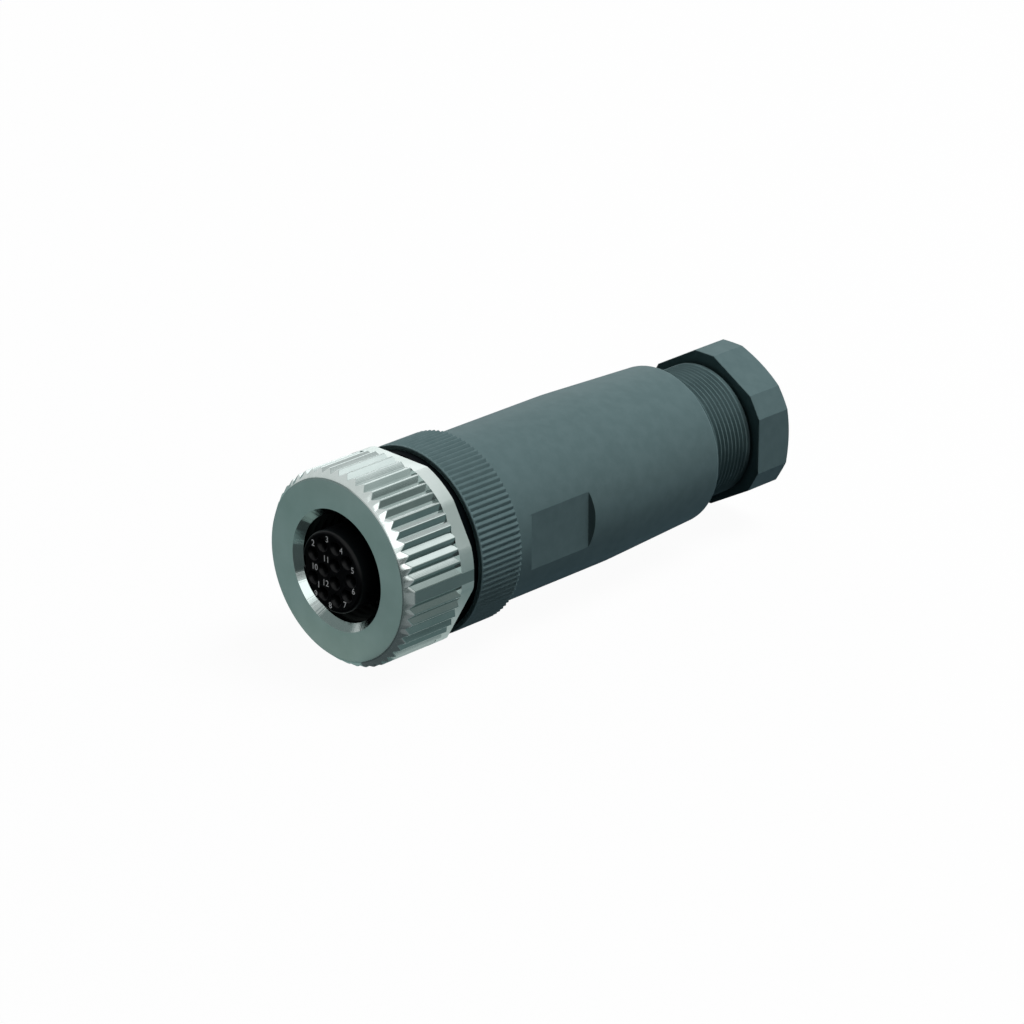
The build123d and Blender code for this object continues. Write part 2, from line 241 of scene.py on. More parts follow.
def nickel_plate(name, dark, light, roughness, chatter_mm=0.0):
    """Turned brass under matt nickel: cool grey, soft reflections and faint rings from the tool, a
    sine wave of the radius sqrt(x^2 + z^2). Where the tool chattered there are radial streaks too,
    from a noise of the direction (x, z) / radius alone."""
    material, tree, shader, place = new_material(name)
    tool_feed_mm, tool_mark_mm = 0.08, 0.002
    plating_grain_mm, plating_mottle_mm = 0.12, 3.0
    parts = node(tree, "ShaderNodeSeparateXYZ", Vector=place)
    across = node(tree, "ShaderNodeCombineXYZ", X=parts.outputs["X"], Z=parts.outputs["Z"])
    radius = node(tree, "ShaderNodeVectorMath", {"operation": "LENGTH"}, Vector=across.outputs[0])
    rings = node(tree, "ShaderNodeMath", {"operation": "MULTIPLY"},
                 (radius.outputs["Value"], TURN / (tool_feed_mm * MM)))
    wave = node(tree, "ShaderNodeMath", {"operation": "SINE"}, (rings.outputs[0],))
    turned = node(tree, "ShaderNodeBump", {"Strength": 0.25, "Distance": tool_mark_mm * MM},
                  Height=wave.outputs[0])
    surface = grain_bump(tree, place, plating_grain_mm, tool_mark_mm, 0.20,
                         Normal=turned.outputs["Normal"])
    if chatter_mm:
        streaks_per_radian = (nut_thread_crest + nut_mouth_chamfer / 2) / nut_chatter_width
        direction = node(tree, "ShaderNodeVectorMath", {"operation": "NORMALIZE"},
                         Vector=across.outputs[0])
        streaks = node(tree, "ShaderNodeTexNoise", {"Scale": streaks_per_radian, "Detail": 3.0},
                       Vector=direction.outputs[0])
        surface = node(tree, "ShaderNodeBump", {"Strength": 1.0, "Distance": chatter_mm * MM},
                       Height=streaks.outputs["Fac"], Normal=surface).outputs["Normal"]
    tree.links.new(surface, shader.inputs["Normal"])
    tree.links.new(mottled(tree, place, plating_mottle_mm, dark, light),
                   shader.inputs["Base Color"])
    shader.inputs["Metallic"].default_value = 1.0
    shader.inputs["Roughness"].default_value = roughness
    return material


def moulded_plastic(name, dark, light, roughness, grain_mm, height_mm, gloss=0.25):
    """Plastic, rubber or ink with a fine grain: nearly even in colour, with a soft highlight."""
    material, tree, shader, place = new_material(name)
    mottle_mm = 1.2
    tree.links.new(mottled(tree, place, mottle_mm, dark, light), shader.inputs["Base Color"])
    tree.links.new(grain_bump(tree, place, grain_mm, height_mm, 0.6), shader.inputs["Normal"])
    shader.inputs["Roughness"].default_value = roughness
    shader.inputs["IOR"].default_value = 1.5
    shader.inputs["Specular IOR Level"].default_value = gloss
    return material


def plain_metal(name, dark, light, roughness):
    """A plated or rolled metal: a little uneven in colour, with a grain too fine to see."""
    material, tree, shader, place = new_material(name)
    mottle_mm, grain_mm, grain_height_mm = 0.8, 0.08, 0.002
    tree.links.new(mottled(tree, place, mottle_mm, dark, light), shader.inputs["Base Color"])
    tree.links.new(grain_bump(tree, place, grain_mm, grain_height_mm, 0.4),
                   shader.inputs["Normal"])
    shader.inputs["Metallic"].default_value = 1.0
    shader.inputs["Roughness"].default_value = roughness
    return material


# The knurl is cut and plated: crisp flanks, each of which mirrors one part of the studio
nickel = nickel_plate("nickel_plated_brass_knurled", "#9BA6A4", "#A3ADAB", 0.20)
# The face is turned: an even grey, wide reflections
nickel_turned = nickel_plate("nickel_plated_brass_turned", "#A9B3B0", "#B1BAB8", 0.34)
# The collar is tumbled before plating: satin, so that it shows no clear mirror image
nickel_satin = nickel_plate("nickel_plated_brass_satin", "#BBC5C2", "#C3CCCA", 0.55)
# The mouth's chamfer is cut with a form tool that chatters: a clear mirror with radial streaks
nickel_chamfer = nickel_plate("nickel_plated_brass_form_cut", "#9BA6A4", "#A3ADAB", 0.12, 0.03)
# The turned cone behind the face has a lighter base colour: painted highlight, the nut's brightest
# part
nickel_cone_painted_highlight = nickel_plate("nickel_plated_brass_cone_painted_highlight", "#BAC4C1", "#C2CBC9", 0.22)
# The threaded bore has a near-black base colour: painted shade of the deep bore
nickel_thread_painted_shade = nickel_plate("nickel_plated_thread_painted_shade", "#161918", "#1D201F", 0.45)
# The marking flat is milled and left so: a darker band along the nut
nickel_milled = nickel_plate("nickel_plated_brass_milled", "#8C9695", "#949D9C", 0.38)
# Filled polyamide from an eroded mould: an even blue-grey with hardly any gloss
grey_polyamide = moulded_plastic("grey_polyamide_moulded", "#607678", "#657B7D", 0.50, 0.10, 0.003,
                                 0.07)
# Smoother mould for the contacts' insert: black with a soft line of light on its rim
black_polyamide = moulded_plastic("black_polyamide_moulded", "#05080A", "#080B0E", 0.42, 0.10,
                                  0.003, 0.22)
# Coarser erosion on the carrier: its collar stays a dead black band between nut and grip
matt_polyamide = moulded_plastic("black_polyamide_eroded_matt", "#04080A", "#070B0E", 0.60, 0.10,
                                 0.004, 0.03)
# Moulded acetal of the clamp cage: near black with the waxy gloss of a sliding part
acetal = moulded_plastic("black_acetal_moulded", "#15171A", "#1A1D20", 0.35, 0.12, 0.003)
# Moulded nitrile rubber of the seals: charcoal and dull
nitrile = moulded_plastic("nitrile_rubber", "#131415", "#1A1B1C", 0.62, 0.10, 0.006)
# Pad-printed ink of the numbers: opaque white, flat
print_ink = moulded_plastic("pad_printed_ink", "#F2F6F6", "#FAFCFC", 0.55, 0.05, 0.002)
# Gold flash on turned brass: warm yellow and bright in the depth of each cavity
gold = plain_metal("gold_plated_brass", "#C99A45", "#D9AE5C", 0.22)
# Rolled spring steel of the split ring: neutral grey, half bright
spring_steel = plain_metal("spring_steel_rolled", "#8E9292", "#9DA1A0", 0.30)

smooth_up_to = 28


def smooth(mesh):
    """Smooth shading, but for edges sharper than the angle in smooth_up_to."""
    mesh.polygons.foreach_set("use_smooth", np.ones(len(mesh.polygons), bool))
    mesh.set_sharp_from_angle(angle=np.radians(smooth_up_to))


def finish_mesh(name, points, faces, material, body, slot, stands_for=()):
    """One object from points in millimetres and faces."""
    mesh = bpy.data.meshes.new(name)
    mesh.from_pydata((np.asarray(points) * MM).tolist(), [], faces)
    mesh.update()
    smooth(mesh)
    mesh.materials.append(material)
    piece = bpy.data.objects.new(name, mesh)
    bpy.context.scene.collection.objects.link(piece)
    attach(piece, body)
    if stands_for:
        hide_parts(*stands_for)
    return piece


def firm_faces(piece):
    """Large faces keep their own normals, and the narrow rows at the edges take the whole turn."""
    weighted = piece.modifiers.new("firm_faces", "WEIGHTED_NORMAL")
    weighted.mode, weighted.weight, weighted.keep_sharp = "FACE_AREA", 50, True


def ring_grid(angles, radius, along):
    """A closed ring of skin: each row is a loop about the axis, x = r cos(angle),
    z = r sin(angle), y = along, and the last row joins the first. Rows run so that the faces look
    outwards."""
    rows, columns = radius.shape
    points = np.stack([radius * np.cos(angles), along, radius * np.sin(angles)], -1).reshape(-1, 3)
    index = np.arange(rows * columns).reshape(rows, columns)
    below = np.roll(index, -1, axis=0)
    corners = [index, below, np.roll(below, -1, axis=1), np.roll(index, -1, axis=1)]
    return points, np.stack(corners, -1).reshape(-1, 4).tolist()


def turned_rows(profile, columns):
    """Rows of a turned shape: each profile point (radius, place) is spread over all the columns."""
    profile = np.asarray(profile, float)
    return (np.repeat(profile[:, :1], columns, 1), np.repeat(profile[:, 1:], columns, 1))


def corner_arc(centre, radius, start, end, steps=5):
    """Points (radius, place) on an arc in the section, between two angles in degrees."""
    turn = np.radians(np.linspace(start, end, steps))
    return [(centre[0] + radius * c, centre[1] + radius * s)
            for c, s in zip(np.cos(turn), np.sin(turn))]


def helix_rows(angles, front, back, pitch, crest, depth, inside, rows_per_turn=8):
    """A V thread on rows along the axis: the phase is place over pitch less angle over a turn, the
    ridge is a triangle wave of it with its tips cut off, and it fades to the plain wall at both
    ends."""
    tip = 0.125
    count = int(round((back - front) / pitch * rows_per_turn)) + 1
    along = np.repeat(np.linspace(front, back, count)[:, None], len(angles), 1)
    phase = along / pitch - angles[None, :] / TURN
    triangle = 2 * np.abs(phase - np.floor(phase) - 0.5)
    ridge = np.clip((1 + 2 * tip) * triangle - tip, 0, 1)
    fade = np.clip(np.minimum(along - front, back - along) / pitch, 0, 1)
    if inside:
        return crest + depth * ridge * fade, along
    return crest - depth * (ridge * fade), along


def groove_columns(count, first, crest_width, radius, depth, skip_first, crest_round=0.035):
    """Columns of V grooves: in each pitch the radius is the crest, falls in a straight flank to
    the root and climbs back; both corners are broken by a short half-angle step. A skipped groove
    leaves a land."""
    root_rise = 0.012
    pitch = TURN / count
    half_crest = crest_width / 2 / radius
    crest_step = crest_round / radius
    root_step = 1.5 * crest_step
    shares = np.array([0, half_crest - crest_step, half_crest + crest_step, pitch / 2 - root_step,
                       pitch / 2, pitch / 2 + root_step, pitch - half_crest - crest_step,
                       pitch - half_crest + crest_step])
    slope = depth / (pitch / 2 - half_crest)
    flank_top = radius - slope * crest_step
    flank_foot = radius - slope * (pitch / 2 - half_crest - root_step)
    levels = np.array([radius, radius, flank_top, flank_foot, radius - depth + root_rise,
                       flank_foot, flank_top, radius])
    starts = first + pitch * np.arange(count)
    angles = (starts[:, None] + shares).ravel()
    level = np.repeat(levels[None, :], count, 0)
    if skip_first:
        level[0] = radius
    return angles, level.ravel()


def nut_skin():
    """The coupling nut: rows from the front face over the cone and grooves to the collar, and back
    through the bore. A flat's radius is its distance over cos(angle from its normal)."""
    step = TURN / nut_grooves
    angles, groove = groove_columns(nut_grooves, -step / 2, nut_crest_width, nut_radius,
                                    nut_groove_depth, True, nut_crest_round)
    columns = len(angles)
    # The land at angle 0 is a shallow flat, and so are the six flats of the collar
    from_land = (angles + np.pi) % TURN - np.pi
    land = np.where(np.abs(from_land) < nut_land_half * step, nut_land_flat / np.cos(from_land),
                    nut_radius)
    groove = np.minimum(groove, land)
    flats = np.full(columns, nut_radius)
    for distance, turn in ((nut_wide_flat, 90), (nut_narrow_flat, 30)):
        away = (angles - np.radians(turn)) % (TURN / 3)
        away = np.minimum(away, TURN / 3 - away)
        flats = np.minimum(flats, distance / np.cos(away))
    collar = np.minimum(flats, land)
    cone_rise = nut_radius - nut_face_radius
    meets_cone = nut_front + nut_cone_length * (groove - nut_face_radius) / cone_rise
    knurl_back = nut_back - nut_collar_length
    plain = np.ones(columns)
    mouth_radius = nut_thread_crest + nut_mouth_chamfer
    thread_front = nut_front + nut_mouth_chamfer
    thread_back = thread_front + nut_thread_length
    thread_runout = 0.2
    rows = [
        (mouth_radius * plain, nut_front * plain),
        ((mouth_radius + 3 * nut_edge) * plain, nut_front * plain),
        ((nut_face_radius - 3 * nut_edge) * plain, nut_front * plain),
        ((nut_face_radius - nut_edge) * plain, nut_front * plain),
        ((nut_face_radius + nut_edge) * plain, (nut_front + nut_edge) * plain),
        (groove - nut_edge * cone_rise, meets_cone - nut_edge),
        (groove, meets_cone + nut_edge),
        (groove, meets_cone + 3 * nut_edge),
        (groove, (knurl_back - nut_edge) * plain),
        (np.minimum(groove, collar + nut_groove_depth), knurl_back * plain),
        (collar, knurl_back * plain),
        (collar, (nut_back - nut_edge) * plain),
        (collar - nut_edge, nut_back * plain),
    ]
    radius, along = (np.array(part) for part in zip(*rows))
    lip_front = nut_back - nut_lip_length
    bore = turned_rows([(nut_lip_radius, nut_back), (nut_lip_radius, lip_front),
                        (nut_relief_radius, lip_front),
                        (nut_relief_radius, thread_back + thread_runout)], columns)
    thread = helix_rows(angles, thread_front, thread_back, nut_thread_pitch, nut_thread_crest,
                        nut_thread_depth, True)
    # The chamfer's own rows, by how far each lies inside the mouth's corner
    mouth = turned_rows([(mouth_radius - inside, nut_front + inside)
                         for inside in (nut_mouth_chamfer - 0.10, 0.12, 0.03)], columns)
    radius = np.vstack([radius, bore[0], thread[0][::-1], mouth[0]])
    along = np.vstack([along, bore[1], thread[1][::-1], mouth[1]])
    return ring_grid(angles, radius, along)


def front_body_skin():
    """The front body: a grip ring of fine V teeth behind a smooth band, then the seal seat, the
    plain thread wall and the bore."""
    angles, groove = groove_columns(grip_teeth, 0, grip_crest_width, grip_radius, grip_tooth_depth,
                                    False)
    plain = np.ones(len(angles))
    grip_back = body_front + grip_length
    band = grip_radius - grip_band_drop
    band_back = body_front + grip_band
    # A row just inside the front corner keeps the face's shading flat
    face_margin = 0.3
    rows = [
        (body_bore * plain, body_front * plain),
        ((band - grip_band_edge - face_margin) * plain, body_front * plain),
        ((band - grip_band_edge) * plain, body_front * plain),
        (band * plain, (body_front + grip_band_edge) * plain),
        (band * plain, band_back * plain),
        (groove, (band_back + grip_edge) * plain),
        (groove, (grip_back - grip_rear_edge) * plain),
        (groove - grip_rear_edge, grip_back * plain),
    ]
    radius, along = (np.array(part) for part in zip(*rows))
    rear = turned_rows([(body_seal_seat, grip_back), (body_seal_seat, grip_back + body_seal_length),
                        (body_thread, grip_back + body_seal_length),
                        (body_thread, body_back - body_thread_chamfer),
                        (body_thread - body_thread_chamfer, body_back),
                        (body_bore, body_back)], len(angles))
    return ring_grid(angles, np.vstack([radius, rear[0]]), np.vstack([along, rear[1]]))


def gland_skin():
    """The gland screw: a thread, a neck and a head whose outline is the nearer of two hexagons'
    flats, flat distance over cos(angle from its normal), with a cone that cuts its rear corners."""
    columns = 240
    angles = TURN * np.arange(columns) / columns
    away = np.abs((angles + np.pi / 6) % (TURN / 6) - np.pi / 6)
    outline = np.minimum(gland_flat / np.cos(away), gland_corner_flat / np.cos(np.pi / 6 - away))
    corner = outline.max()
    slope = np.tan(np.radians(gland_bevel_angle))
    meets_cone = gland_back - gland_bevel + (corner - outline) * slope
    head_front = gland_back - gland_head_length
    neck_front = head_front - gland_neck_length
    plain = np.ones(columns)
    thread = helix_rows(angles, gland_front + gland_thread_lead, neck_front, gland_thread_pitch,
                        gland_thread_crest, gland_thread_depth, False)
    nose = turned_rows([(gland_recess, gland_front),
                        (gland_thread_crest - gland_thread_lead, gland_front)], columns)
    # The neck starts just behind the thread's last row, so that the step between them is steep
    step = 0.02
    neck = turned_rows([(gland_neck_radius, neck_front + step), (gland_neck_radius, head_front)],
                       columns)
    rear_radius = corner - gland_bevel / slope
    head = [(outline - gland_edge, head_front * plain),
            (outline, (head_front + gland_edge) * plain),
            (outline, meets_cone - gland_edge),
            (outline - gland_edge, meets_cone + gland_edge * slope),
            (rear_radius * plain, gland_back * plain)]
    head_radius, head_along = (np.array(part) for part in zip(*head))
    flare_centre = (gland_bore + gland_flare, gland_back - gland_flare)
    flare = turned_rows(corner_arc(flare_centre, gland_flare, 90, 180, 9), columns)
    recess_back = gland_front + gland_recess_depth
    bore = turned_rows([(gland_bore, recess_back), (gland_recess, recess_back)], columns)
    radius = np.vstack([nose[0], thread[0], neck[0], head_radius, flare[0], bore[0]])
    along = np.vstack([nose[1], thread[1], neck[1], head_along, flare[1], bore[1]])
    return ring_grid(angles, radius, along)


def turned_skin(profile, columns=240):
    """A turned ring: the section's points go round the axis, and the section is a closed loop."""
    angles = TURN * np.arange(columns) / columns
    return ring_grid(angles, *turned_rows(profile, columns))


def capped_skin(profile, columns=192):
    """A turned solid that is closed on the axis at both ends of its section by a flat disc each."""
    angles = TURN * np.arange(columns) / columns
    radius, along = turned_rows(profile, columns)
    points, faces = ring_grid(angles, radius, along)
    last = (len(profile) - 1) * columns
    faces = faces[:last]
    faces.append(list(range(columns)))
    faces.append(list(range(last, last + columns))[::-1])
    return points, faces


def rod_skin(x, z, profile, columns=40):
    """A turned solid about a line beside the axis."""
    points, faces = capped_skin(profile, columns)
    return points + np.array([x, 0, z]), faces


def baked(holder):
    """The mesh of an object with its modifiers, or of its text, as a mesh of its own."""
    bpy.context.view_layer.update()
    depsgraph = bpy.context.evaluated_depsgraph_get()
    return bpy.data.meshes.new_from_object(holder.evaluated_get(depsgraph))


def cut(piece, tools):
    """Takes the tools away from the piece with an exact boolean, keeps the result as its mesh and
    drops the tools."""
    for points, faces in tools:
        mesh = bpy.data.meshes.new("tool")
        mesh.from_pydata((np.asarray(points) * MM).tolist(), [], faces)
        tool = bpy.data.objects.new("tool", mesh)
        bpy.context.scene.collection.objects.link(tool)
        boolean = piece.modifiers.new("cut", "BOOLEAN")
        boolean.operation, boolean.solver, boolean.object = "DIFFERENCE", "EXACT", tool
        made = baked(piece)
        piece.modifiers.clear()
        piece.data = made
        bpy.data.objects.remove(tool)
    smooth(piece.data)


def prism(corners, low, high):
    """A straight prism: its outline (x, y) is repeated at two heights z."""
    corners = np.asarray(corners, float)
    n = len(corners)
    points = np.vstack([np.column_stack([corners, np.full(n, h)]) for h in (low, high)])
    sides = [[i, (i + 1) % n, n + (i + 1) % n, n + i] for i in range(n)]
    return points, [list(range(n))[::-1], list(range(n, 2 * n)), *sides]


def face_middles(piece):
    """Middles of all faces: distance from the axis, angle in degrees and place along it, with the
    lengths in millimetres."""
    middles = np.zeros(3 * len(piece.data.polygons))
    piece.data.polygons.foreach_get("center", middles)
    x, y, z = middles.reshape(-1, 3).T / MM
    return np.hypot(x, z), np.degrees(np.arctan2(z, x)), y


def second_finish(piece, material, chosen):
    """Gives the chosen faces one more material of the same piece."""
    which = np.zeros(len(piece.data.polygons), np.int32)
    piece.data.polygons.foreach_get("material_index", which)
    piece.data.materials.append(material)
    which[chosen] = len(piece.data.materials) - 1
    piece.data.polygons.foreach_set("material_index", which)


coupling_nut = finish_mesh("coupling_nut_skin", *nut_skin(), nickel, "nut", "nickel_nut",
                           ["coupling_nut"])
# Each finish of the nut takes the faces whose middles lie in its place, with a little to spare
nut_r, nut_angle, nut_y = face_middles(coupling_nut)
spare = 0.02
bore_reach = nut_relief_radius + 0.2
cone_place = nut_front + (nut_cone_length * (nut_r - nut_face_radius)
                          / (nut_radius - nut_face_radius))
cone_back = nut_front + nut_cone_length
mouth_back = nut_front + nut_mouth_chamfer
milled_front = nut_front + 0.8
milled_reach = nut_face_radius + 0.3
second_finish(coupling_nut, nickel_turned, (nut_r > bore_reach) & (nut_y < nut_front + spare))
second_finish(coupling_nut, nickel_satin,
              (nut_r > bore_reach) & (nut_y > nut_back - nut_collar_length + spare))
# The cone's faces take the lighter nickel of the painted highlight
second_finish(coupling_nut, nickel_cone_painted_highlight,
              (nut_r > nut_face_radius) & (nut_y > nut_front + spare)
              & (nut_y < cone_place + 2 * spare) & (nut_y < cone_back))
second_finish(coupling_nut, nickel_chamfer,
              (nut_r < bore_reach) & (nut_y > nut_front + spare / 4) & (nut_y < mouth_back - spare))
# The bore's thread takes the near-black nickel of the painted shade
second_finish(coupling_nut, nickel_thread_painted_shade,
              (nut_r < nut_relief_radius + spare / 2) & (nut_y > mouth_back + spare))
second_finish(coupling_nut, nickel_milled,
              (np.abs(nut_angle) < nut_milled_half) & (nut_r > milled_reach)
              & (nut_y > milled_front))
front_body = finish_mesh("front_body_skin", *front_body_skin(), grey_polyamide, "housing",
                         "grey_housing", ["front_body"])
gland_screw = finish_mesh("gland_screw_skin", *gland_skin(), grey_polyamide, "gland", "grey_gland",
                          ["gland_screw"])

# Housing: the section is read from the outside front corner to the rear and back through the bore.
# The straight part has rows along the wrench flats and just before and behind them. The taper sets
# in by two small steps, so that no edge shows, and the rear corner's arc starts a little outside it
flat_margin, flat_outer_margin = 0.6, 0.9
taper_first_step, taper_second_step = 0.006, 0.042
rear_corner_rise = 0.02
taper_front = housing_front + housing_straight
flat_front = housing_front + wrench_flat_start
flat_back = flat_front + wrench_flat_length
flat_rows = [flat_front - flat_outer_margin, flat_front - flat_margin,
             *np.linspace(flat_front, flat_back, 9).tolist(),
             flat_back + flat_margin, flat_back + flat_outer_margin]
rear_corner = (housing_end_radius + rear_corner_rise - housing_rear_edge,
               housing_back - housing_rear_edge)
housing_section = [
    (seal_bore, housing_front), (housing_radius - housing_front_edge, housing_front),
    (housing_radius, housing_front + housing_front_edge),
    (housing_radius, housing_front + flat_margin),
    *[(housing_radius, row) for row in flat_rows],
    (housing_radius, taper_front - housing_taper_blend),
    (housing_radius - taper_first_step, taper_front),
    (housing_radius - taper_second_step, taper_front + housing_taper_blend),
    *corner_arc(rear_corner, housing_rear_edge, 2, 90, 7),
    (gland_hole + gland_hole_edge, housing_back), (gland_hole, housing_back - gland_hole_edge),
    (gland_hole, cage_bore_back), (cage_cone, cage_bore_back),
    (cage_cone, shoulder_back + cage_cone_length), (cage_bore, shoulder_back),
    (shoulder_bore, shoulder_back), (shoulder_bore, thread_bore_back),
    (thread_bore, thread_bore_back), (thread_bore, housing_front + seal_bore_length),
    (seal_bore, housing_front + seal_bore_length),
]
housing = finish_mesh("housing_sleeve_skin", *turned_skin(housing_section), grey_polyamide,
                      "housing", "grey_housing", ["housing_sleeve"])
# Each flat's tool is a trapezium whose ends slope at 45 degrees, which gives the flat its ramps
flat_depth = housing_radius - wrench_flat
tool_reach = housing_radius + flat_depth
cut(housing, [prism([(side * wrench_flat, flat_front),
                     (side * tool_reach, flat_front - 2 * flat_depth),
                     (side * tool_reach, flat_back + 2 * flat_depth),
                     (side * wrench_flat, flat_back)][::side], -housing_radius, housing_radius)
              for side in (1, -1)])

# Contact places: nine on the outer circle with the wide gap at the keyway, three on the inner one
outer_angles = np.radians(outer_pitch * (np.arange(9) - 4))[::-1]
outer_places = outer_circle * np.column_stack([np.cos(outer_angles), np.sin(outer_angles)])
inner_angles = np.radians([180, 60, 300])
inner_places = inner_circle * np.column_stack([np.cos(inner_angles), np.sin(inner_angles)])
contact_places = np.vstack([outer_places[-1:], outer_places[:-1], inner_places])

# Insert: a solid spigot and stem, from which the keyway and the cavities are cut
insert_section = [
    *corner_arc((spigot_radius - spigot_edge, insert_front + spigot_edge), spigot_edge, -90, 0, 8),
    (spigot_radius, seal_seat_front), (seal_seat_radius, seal_seat_front),
    (seal_seat_radius, carrier_front), (insert_stem_radius, carrier_front),
    (insert_stem_radius, insert_back),
]
insert = finish_mesh("contact_insert_skin", *capped_skin(insert_section), black_polyamide,
                     "housing", "black_insert", ["contact_insert"])
# The tools reach past the surfaces that they cut
past = 1.0
past_mouth = 0.2
keyway_floor = keyway_depth - spigot_radius
keyway = prism([(-spigot_radius - past, insert_front - past), (keyway_floor, insert_front - past),
                (keyway_floor, seal_seat_front), (-spigot_radius - past, seal_seat_front)],
               -keyway_width / 2, keyway_width / 2)
# Each mouth is a funnel that narrows ever more gently: its radius is the mouth's hole and a rise
# times (1 - depth / funnel length)^2. Behind it the cavity widens twice
funnel_radius = contact_hole + contact_lead_in
funnel_rise = funnel_radius - contact_mouth_hole
funnel = [(contact_mouth_hole + funnel_rise * (1 - depth / contact_funnel_length) ** 2,
           insert_front + depth)
          for depth in (0, 0.1, 0.2, 0.3, 0.45, contact_funnel_length)]
mouth_hole_back = insert_front + contact_mouth_length
cavity_section = [(funnel_radius + past_mouth, insert_front - past_mouth), *funnel,
                  (contact_mouth_hole, mouth_hole_back), (contact_hole, mouth_hole_back),
                  (contact_hole, contact_shoulder), (contact_rear_hole, contact_shoulder),
                  (contact_rear_hole, insert_back + past / 2)]
cut(insert, [keyway, *[rod_skin(x, z, cavity_section) for x, z in contact_places]])

# Insert carrier: flange, groove of the split ring, neck of the nut, the collar that shows, and
# the rear plug
collar_edge = 0.1
carrier_section = [
    (carrier_bore, carrier_front), (carrier_flange_radius, carrier_front),
    (carrier_flange_radius, flange_back), (split_groove_radius, flange_back),
    (split_groove_radius, neck_front), (neck_radius, neck_front), (neck_radius, collar_front),
    (collar_radius - collar_edge, collar_front), (collar_radius, collar_front + collar_edge),
    (collar_radius, body_front), (carrier_rear_radius, body_front),
    (carrier_rear_radius, carrier_back), (carrier_bore, carrier_back),
]
carrier = finish_mesh("insert_carrier_skin", *turned_skin(carrier_section), matt_polyamide,
                      "housing", "black_insert", ["insert_carrier"])

# Face seal: a circle of the section carried round the axis
seal_front, seal_back = span("face_seal")
seal_section = (seal_back - seal_front) / 2
seal_clearance = 0.05
seal_middle = carrier_flange_radius - seal_clearance - seal_section
seal_circle = corner_arc((seal_middle, (seal_front + seal_back) / 2), seal_section, 0, 345, 24)
finish_mesh("face_seal_skin", *turned_skin(seal_circle, 192), nitrile, "housing",
            "seal_rubber", ["face_seal"])

# Printed contact numbers: (number, x, z) of each one's middle on the face of the insert
number_places = [
    ("1", -1.77, -1.77), ("2", -2.48, 2.36), ("3", -0.50, 3.31), ("4", 1.46, 2.74),
    ("5", 3.02, 1.17), ("6", 3.11, -0.97), ("7", 1.90, -2.77), ("8", -0.18, -3.46),
    ("9", -2.20, -2.85), ("10", -2.23, -0.06), ("11", -0.66, 1.22), ("12", -0.72, -1.31),
]
number_height = 0.63
ink_height = 0.012


def printed_numbers():
    """All numbers as one mesh: each text outline is centred, scaled to its height, laid on the
    face and raised. Outside the flat face it follows the rim's fillet of radius r, and lies
    r - sqrt(r^2 - over^2) behind the face, where over is how far outside it is."""
    points, faces = [], []
    for text, x, z in number_places:
        curve = bpy.data.curves.new("number", "FONT")
        curve.body, curve.resolution_u, curve.extrude = text, 4, 0.5
        holder = bpy.data.objects.new("number", curve)
        bpy.context.scene.collection.objects.link(holder)
        mesh = baked(holder)
        drawn = np.zeros(len(mesh.vertices) * 3)
        mesh.vertices.foreach_get("co", drawn)
        drawn = drawn.reshape(-1, 3)
        low, high = drawn.min(0), drawn.max(0)
        scale = number_height / (high[1] - low[1])
        local = (drawn - (low + high) / 2) * scale
        across, rise = x + local[:, 0], z + local[:, 1]
        over = np.clip(np.hypot(across, rise) - spigot_radius + spigot_edge, 0, spigot_edge)
        rim = spigot_edge - np.sqrt(spigot_edge ** 2 - over ** 2)
        depth = np.where(drawn[:, 2] > 0, ink_height, -ink_height)
        start = len(points)
        points += np.column_stack([across, insert_front + rim - depth, rise]).tolist()
        faces += [[start + i for i in polygon.vertices] for polygon in mesh.polygons]
        bpy.data.objects.remove(holder)
    return points, faces


numbers = finish_mesh("contact_numbers", *printed_numbers(), print_ink, "housing", "black_insert")

for piece in (coupling_nut, gland_screw, housing, front_body, carrier, insert):
    firm_faces(piece)

# The inner CAD nodes keep their own meshes
for material, names in ((gold, [f"socket_contact_{number:02d}" for number in range(1, 13)]),
                        (spring_steel, ["nut_split_ring"]), (black_polyamide, ["contact_retainer"]),
                        (nitrile, ["body_seal", "cable_seal"]),
                        (acetal, ["clamp_cage", "thrust_ring"])):
    for name in names:
        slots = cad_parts[name].data.materials
        slots.clear()
        slots.append(material)

# Camera: fitted to the photograph's ellipses; it looks from the right, in front and above. The
# middle of the nut's face lies at face_depth along the view, left of its centre and below it
camera_azimuth = np.radians(45.1)
camera_elevation = np.radians(23.29)
face_depth = 416.7
face_left, face_down = 16.77, 5.60
lens_mm = 153.5
sensor_mm = 36
nearest_m = 0.01
forward = np.array([-np.sin(camera_azimuth) * np.cos(camera_elevation),
                    np.cos(camera_azimuth) * np.cos(camera_elevation), -np.sin(camera_elevation)])
right = np.array([np.cos(camera_azimuth), np.sin(camera_azimuth), 0])
up = np.cross(right, forward)
eye = -(forward * face_depth - right * face_left - up * face_down) * MM
lens = bpy.data.cameras.new("camera")
lens.lens, lens.sensor_width, lens.clip_start = lens_mm, sensor_mm, nearest_m
camera = bpy.data.objects.new("camera", lens)
camera_turn = np.column_stack([right, up, -forward])
camera.matrix_world = Matrix([[*row, place] for row, place in zip(camera_turn, eye)]
                             + [[0, 0, 0, 1]])
bpy.context.scene.collection.objects.link(camera)
bpy.context.scene.camera = camera


def area_light(name, place, target, size, power, colour="#FFFFFF"):
    """A square soft light at a place in metres that looks at the target."""
    data = bpy.data.lights.new(name, "AREA")
    data.shape, data.size, data.energy = "SQUARE", size, power
    data.color = linear(colour)[:3]
    lamp = bpy.data.objects.new(name, data)
    lamp.location = place
    lamp.rotation_euler = (Vector(target) - Vector(place)).to_track_quat("-Z", "Y").to_euler()
    bpy.context.scene.collection.objects.link(lamp)
    return lamp


